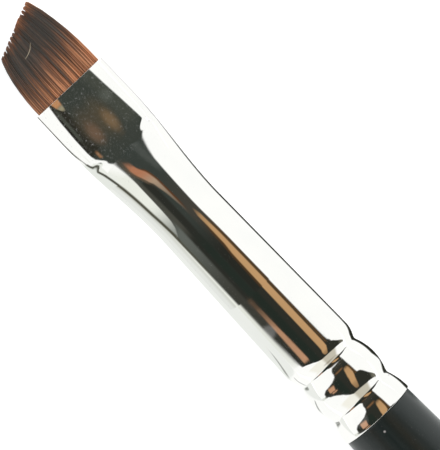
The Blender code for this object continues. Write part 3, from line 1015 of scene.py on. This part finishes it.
top = border(
    u, (-0.7, 30), (-0.66, 40), (-0.6, 46), (-0.4, 43), (0, 41.5), (0.08, 42), (0.11, 43), (0.13, 50),
    (0.2, 57), (0.3, 63), (0.4, 70), (0.5, 82), (0.6, 95), (0.64, 90), (0.68, 54), (0.75, 40),
)
bottom = border(
    u, (-0.7, 0), (-0.6, -9), (-0.5, -13), (-0.4, -13), (-0.3, -17), (-0.2, -31), (-0.15, -45), (-0.1, -62),
    (-0.02, -72), (0.105, -75), (0.118, -68), (0.16, -62), (0.2, -53), (0.25, -46), (0.3, -41), (0.4, -31),
    (0.5, -25), (0.6, -18), (0.68, -9), (0.75, 0),
)
low_blur = border(u, (0.05, 4), (0.07, 15), (0.118, 15), (0.128, 4))
dark = within(angle, bottom, top, low_blur, 4) * within(u, -0.67, 0.7, 0.05)
lay(picture, (45, 46, 40), dark)
lay_inside(
    picture,
    dark,
    ((60, 58, 50), before(u, -0.58, 0.2) * 0.85),
    ((110, 108, 96), after(angle, 66, 16)),
    ((140, 100, 64), within(u, -0.4, -0.34, 0.05) * within(angle, -8, 20, 14) * 0.7),
    ((34, 43, 37), within(u, -0.16, 0.5, 0.1) * within(angle, -30, -8, 10) * 0.8),
    ((60, 60, 54), within(u, 0.07, 0.1, 0.01) * within(angle, -80, -48, 6)),
    ((84, 62, 38), within(u, -0.3, 0.125, 0.02) * within(angle, 34.5, 41, 4) * 0.85),
)

copper_top = border(
    u, (-0.35, 32), (-0.25, 35), (0, 34), (0.11, 31.5), (0.2, 28), (0.3, 26), (0.5, 22), (0.6, 20)
)
copper_bottom = border(
    u, (-0.35, 24), (-0.25, 19), (0, 13), (0.11, 12), (0.2, 10), (0.3, 8), (0.5, 9), (0.6, 12)
)
copper = within(angle, copper_bottom, copper_top, 4) * border(
    u, (-0.34, 0), (-0.22, 0.9), (0, 1), (0.25, 1), (0.36, 0.75), (0.56, 0.5), (0.62, 0)
)
lay(picture, (190, 150, 105), copper)
low_top = border(u, (-0.18, -37), (-0.1, -32), (0.085, -37), (0.11, -32), (0.2, -37))
low_bottom = border(u, (-0.18, -46), (-0.1, -54), (0.06, -55), (0.085, -47), (0.115, -51), (0.2, -50))
low_copper = within(angle, low_bottom, low_top, 4) * border(
    u, (-0.13, 0), (-0.06, 1), (0.064, 1), (0.072, 0), (0.082, 0), (0.087, 0.25), (0.092, 0.6), (0.098, 0.95),
    (0.126, 1), (0.14, 0),
)
lay(picture, (192, 146, 112), low_copper)
painted_card("far_hood", round_axis(MOUTH_X + HOOD_RADIUS * u, angle, HOOD_RADIUS), picture)

# %% [markdown]
# ## The card over the neck
#
# The neck slopes forward and looks up and ahead, over the pressed panel. It shares a card with the front of
# the tube, one centimetre from the axis. A copper streak starts there broad and red and thins out to a pale
# line, and a second one starts where the first ends.

# %% Paint the card over the neck
NECK_CARD_RADIUS = 0.010
x, angle = np.meshgrid(np.arange(-0.5, 21.55, 0.1), np.arange(-110.0, 81.0, 1.0), indexing="ij")
picture = cream_picture(x)
lay(picture, (212, 214, 205), after(-angle, 70, 8) * after(x, 5.2, 1))
lay(picture, (228, 230, 224), after(-angle, 84, 12) * after(x, 5.2, 1))
lay(picture, (235, 237, 227), within(angle, -80, -38, 6) * after(x, 3, 3))
low_line = border(
    x, (5.0, -112), (5.24, -107), (5.7, -99), (5.95, -82), (6.4, -78.5), (8, -77), (12, -76.5), (14, -72),
    (16, -70),
)
line_cover = within(angle, low_line - 6, low_line + 5, 7) * after(x, 4.6, 0.4) * before(x, 14, 5)
top = border(
    x, (2, 43), (2.9, 38.5), (3.1, 37), (3.45, 35.3), (3.7, 33.8), (5.8, 31.2), (8, 31), (13, 32.5),
    (15, 34.5), (17, 36), (22, 36.8),
)
bottom = border(
    x, (2, -35), (3.1, -38.8), (8, -39.3), (10, -41), (12, -44.5), (13, -47), (13.6, -52), (14.3, -66),
    (15, -74), (18, -71), (21.5, -68.5),
)
wedge = within(angle, low_line, -40, 6) * after(x, 11, 3.6)
lay(picture, (122, 126, 120), 0.95 * wedge)
lay(picture, (78, 77, 64), line_cover)
soft = border(x, (3, 9), (5, 5), (10, 3.5), (22, 3.5))
low_blur = border(x, (3, 9), (5, 5), (10, 3.5), (15, 6), (19, 15), (22, 15))
dark = within(angle, bottom, top, low_blur, soft)
lay(picture, (56, 61, 56), dark)
glint = within(angle, 8 + 1.5 * x, 22 + 1.5 * x, 12) * within(x, 0, 8.5, 3)
lay_inside(
    picture,
    dark,
    ((80, 84, 79), glint * 0.7),
    ((66, 64, 57), after(x, 9, 4) * within(angle, 2, 40, 10)),
    ((40, 41, 36), after(x, 13, 5) * within(angle, -14, 12, 10)),
    ((44, 45, 40), after(-angle, 8, 8) * after(x, 7, 2)),
    ((36, 45, 39), within(angle, -32, -12, 10) * after(x, 14, 3) * 0.8),
    ((78, 78, 70), within(angle, -50, -31, 7) * within(x, 3, 14.5, 2) * 0.8),
)
far_grey = blend(light_for(96, 100, 94), light_for(60, 60, 54), after(x, 14, 7)[..., None])
lay_light(picture, far_grey, dark * within(angle, -80, -43, 9) * after(x, 12.6, 1.6))
lay(picture, (78, 77, 64), within(angle, low_line - 3, low_line + 3, 5) * within(x, 13, 18, 2) * 0.8)

copper_top = border(
    x, (2.4, -17), (3, -16), (4, -14), (5, -10.3), (6, -5.5), (7, -2.8), (8, -0.9), (9, 0.8), (10, 2),
    (12.6, 5),
)
copper_bottom = border(
    x, (2.4, -25), (3, -27), (4, -29), (5, -27.5), (6, -25.5), (7, -21.5), (8, -18), (9, -15), (10, -9.5),
    (11, -3.5), (12.6, 2),
)
rim = within(angle, copper_top - 1, copper_top + 4, 3) * within(x, 5.0, 12.4, 2)
lay(picture, (92, 58, 34), rim * 0.9)
under = within(angle, copper_bottom - 6, copper_bottom, 4) * within(x, 3, 9.5, 2)
lay(picture, (96, 82, 66), under * 0.8)
strength = border(x, (2.5, 0), (3.3, 1), (9.6, 1), (11.2, 0.55), (13.1, 0.05), (13.5, 0))
copper_light = blend(light_for(174, 118, 87), light_for(170, 146, 122), after(x, 5.5, 4.5)[..., None])
lay_light(picture, copper_light, within(angle, copper_bottom, copper_top, 4) * strength)

top_copper = border(x, (13.3, 20.5), (14, 24.7), (15, 26), (16, 27.6), (17, 28), (19, 28.4), (21.5, 28.8))
low_copper = border(x, (13.3, 18.5), (14, 15.6), (15, 16.5), (17, 16.5), (18, 13.4), (19, 12.8), (21.5, 12))
lay(picture, (74, 54, 34), within(angle, low_copper - 6, top_copper, 4) * after(x, 14, 2) * 0.8)
lay(picture, (80, 60, 38), within(angle, top_copper, top, 3) * after(x, 14, 2) * 0.85)
started = border(x, (13.2, 0), (14.2, 0.75), (15.5, 1))
lay(picture, (190, 150, 105), within(angle, low_copper, top_copper, 4) * started)
painted_card("neck_card", round_axis(MOUTH_X + x / 1000, angle, NECK_CARD_RADIUS), picture)

# %% [markdown]
# ## The card over the panel
#
# The pressed panel is nearly flat and looks straight up. A level card right above it holds what it mirrors:
# dark grey-green, blurred brown patches, and a piece of copper at the front corner. The dark ends in a soft
# border on both sides, where the panel's rounded edges look past it at the white room.

# %% Paint the card over the panel
PANEL_CARD_HEIGHT = 0.0020
x, y = np.meshgrid(np.arange(-1.0, 6.6, 0.05), np.arange(-5.0, 5.01, 0.05), indexing="ij")
picture = cream_picture(x)
top = border(
    x, (0, 2.46), (1.5, 2.54), (3.1, 2.69), (4.6, 2.8), (5.2, 2.87), (5.7, 2.9), (5.9, 2.72), (6.05, 2.42),
    (6.15, 2.16), (6.3, 1.9), (6.45, 1.72), (6.65, 1.58),
)
bottom = border(
    x, (0, -2.62), (1.5, -2.93), (3.1, -3.01), (4.6, -2.87), (5.1, -2.7), (5.33, -2.53), (5.7, -2.33),
    (6.05, -2.19), (6.2, -2.08), (6.6, -1.64),
)
dark = within(y, bottom, top, 0.26)
lay(picture, (58, 62, 56), dark)
lay_inside(
    picture,
    dark,
    ((68, 71, 63), after(y, 0.8, 1.0) * before(x, 4.6, 1)),
    ((96, 100, 92), within(x, 1.9, 2.8, 0.8) * within(y, 1.2, 2.2, 0.7) * 0.45),
    ((46, 45, 38), after(-y, 1.2, 0.5) * before(x, 4.9, 0.6)),
    ((84, 88, 79), within(y, -2.53, -2.13, 0.24) * within(x, 0.6, 3.6, 0.8) * 0.6),
    ((32, 32, 26), within(y, -3.05, -2.59, 0.24) * before(x, 4.9, 0.6)),
)
for middle_x, middle_y, long, wide, colour in (
    (3.4, 0.35, 1.9, 0.95, (80, 72, 56)),
    (3.3, -0.85, 1.8, 0.9, (78, 70, 56)),
    (4.0, 0.62, 1.15, 0.5, (120, 98, 72)),
    (3.9, -0.95, 1.1, 0.55, (108, 86, 68)),
):
    away = np.hypot((x - middle_x) / long, (y - middle_y) / wide)
    lay(picture, colour, (1 - ease(away * 0.9 - 0.2)) * 0.85)
corner_low = border(x, (0, -2.24), (0.5, -2.06), (1.1, -1.6))
corner = within(y, corner_low, border(x, (0, -1.31), (1.1, -1.43)), 0.16)
lay(picture, (186, 134, 92), corner * before(x, 0.35, 0.45))
lay(picture, (150, 142, 116), corner * within(x, 0.55, 1.0, 0.3))
lay(picture, (160, 116, 80), within(y, -2.0, -1.8, 0.22) * within(x, 5.05, 5.7, 0.4) * 0.85)
points = np.stack([MOUTH_X + x / 1000, y / 1000, np.full_like(x, AXIS_Z + PANEL_CARD_HEIGHT)], -1)
painted_card("panel_card", points, picture)

# %% [markdown]
# ## The card beside the crease
#
# The crease bends so sharply that it sweeps its view across half the room. This small card stands upright
# beside it and keeps its piece of the picture close to the metal.

# %% Paint the card beside the crease
CREASE_CARD_Y = -0.0037
x, z = np.meshgrid(np.arange(5.28, 8.0, 0.05), np.arange(-1.6, 2.4, 0.05), indexing="ij")
picture = cream_picture(x)
line = border(
    x, (5.15, 0.66), (5.44, 0.84), (5.8, 0.92), (6.2, 0.99), (6.45, 1.2), (6.7, 1.37), (7.2, 1.56), (8, 1.81)
)
lay(picture, (236, 238, 230), after(x, 5.6, 0.6))
lay(picture, (229, 232, 225), 1 - ease((z - line) / 0.2 + 0.5))
lay(picture, (74, 74, 62), within(z, line - 0.23, line + 0.21, 0.28))
points = np.stack([MOUTH_X + x / 1000, np.full_like(x, CREASE_CARD_Y), AXIS_Z + z / 1000], -1)
painted_card("crease_card", points, picture)

# %% [markdown]
# ## Dark lines along the edges
#
# Seen from above, the very edges of the tube mirror the table right beside it. Two soft strips just above
# the table hold what they show. The upper strip is a painted shadow, the brush's shade on the table, which
# gives the metal a thin dark outline; it turns white just behind the ferrule. The lower one has a dark line
# beside the panel only, then a pale grey and two short streaks.

# %% Strips beside the brush
STRIP_HEIGHT = 0.00006
across = np.concatenate([np.arange(0.0, 14.0, 0.1), np.arange(14.0, 60.0, 1.0), np.arange(60.0, 401.0, 10.0)])
x, y = np.meshgrid(np.append(np.arange(-1.0, 36.6, 0.2), (36.8, 40.0, 50.0)), across, indexing="ij")
reach_out = border(
    x, (28, 6.0), (28.6, 6.4), (30, 7.3), (31.5, 8.2), (32.2, 7.0), (32.8, 5.4), (34, 6.8), (35, 7.8)
)
strength = border(x, (-1, 0.35), (5, 0.42), (7, 0.75), (10, 0.9), (15, 1), (36.5, 1), (36.7, 0))
# Painted shadow: the brush's shade on the table beside its upper edge, mirrored as a thin dark outline.
painted_shadow = within(y, 2.4, reach_out, 1.2) * strength
upper = cream_picture(x)
lay(upper, (44, 45, 38), painted_shadow)

middle = border(x, (-1, 5.3), (3.1, 5.7), (4, 6.8), (4.4, 7.7), (4.8, 9.3), (5.2, 11.5))
lower = cream_picture(x)
lay(lower, (235, 237, 231), within(x, 5.2, 28.6 + 0.055 * y, 1.2))
lay(lower, (80, 80, 70), within(y, middle - 1.4, middle + 1.4, 1.2) * before(x, 4.9, 0.6))
for foot, far_end in ((29.1, 26.8), (33.4, 30.8)):
    bent = blend(foot, far_end, 0.55)
    line = border(y, (3.2, foot), (5.5, foot - 0.4), (8.5, bent), (11.5, far_end), (14, far_end - 1))
    lay(lower, (92, 96, 86), 0.85 * within(x, line - 0.3, line + 0.3, 0.5) * within(y, 6.5, 12.5, 2))

for name, side, picture in (("upper_shadow_strip", 1, upper), ("lower_edge_strip", -1, lower)):
    points = np.stack([MOUTH_X + x / 1000, side * y / 1000, np.full_like(x, STRIP_HEIGHT)], -1)
    painted_card(name, points, picture)

# %% [markdown]
# ## The camera
#
# The photograph looks down on the brush, which runs from the upper left to the lower right. The camera
# hangs 312 mm above the axis at the mouth and aims at a point 15.8 mm behind it, turned so that the brush
# lies at that slant.

# %% Camera above the mouth
CAMERA_HEIGHT, SENSOR = 0.312, 36.0
PIXEL = 0.00007765
PHOTO_LONG_SIDE = 450
AIM = Vector((MOUTH_X + 0.0158, 0.00122, AXIS_Z))
PICTURE_UP = Vector((-0.7294, 0.6847, 0))
camera_data = bpy.data.cameras.new("camera")
camera_data.sensor_width = SENSOR
camera_data.lens = SENSOR * CAMERA_HEIGHT / (PHOTO_LONG_SIDE * PIXEL)
camera = add_object("camera", camera_data)
camera.location = (MOUTH_X, 0.0, AXIS_Z + CAMERA_HEIGHT)
view = AIM - camera.location
side = view.cross(PICTURE_UP).normalized()
axes = Matrix((side, side.cross(view).normalized(), -view.normalized())).transposed()
camera.matrix_world = Matrix.Translation(camera.location) @ axes.to_4x4()
bpy.context.scene.camera = camera
bpy.context.scene.view_settings.view_transform = "Standard"
print(f"lens {camera_data.lens:.1f} mm")

# %% [markdown]
# ## The size
#
# The dressed brush must fill the CAD model's box and not leave it. Both boxes are printed.

# %% Print the dressed brush's box
low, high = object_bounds()
print("visual box in mm:", [round(1000 * v, 2) for v in (*low, *high)])
